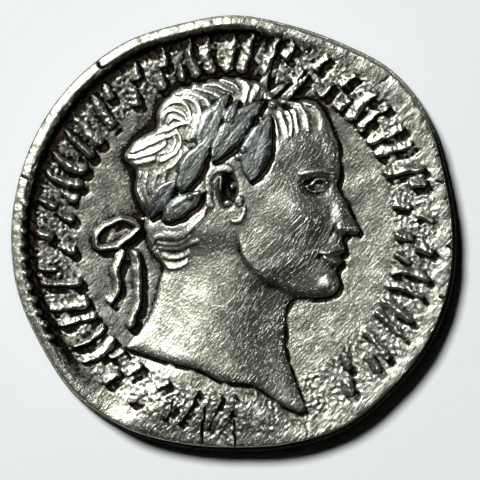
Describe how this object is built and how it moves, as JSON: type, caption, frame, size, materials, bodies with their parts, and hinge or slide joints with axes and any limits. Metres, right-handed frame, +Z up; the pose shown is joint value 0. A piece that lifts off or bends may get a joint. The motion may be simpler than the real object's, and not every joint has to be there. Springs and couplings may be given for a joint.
{
  "type": "ancient silver coin",
  "caption": "Hand-struck silver coin: a wreathed head in profile inside a band of worn strokes, a standing draped figure on the underside. It lies flat as a display piece or game token.",
  "frame": {"origin": "middle of the coin's box, at the level on which the coin rests", "axes": "+Z up out of the side with the head, +Y towards the crown of the head, +X the way the head looks"},
  "size_m": [0.0186, 0.0182, 0.002],
  "materials": {
    "silver": "toned, worn and struck silver"
  },
  "bodies": {
    "root": {"coin": "silver"}
  },
  "joints": []
}
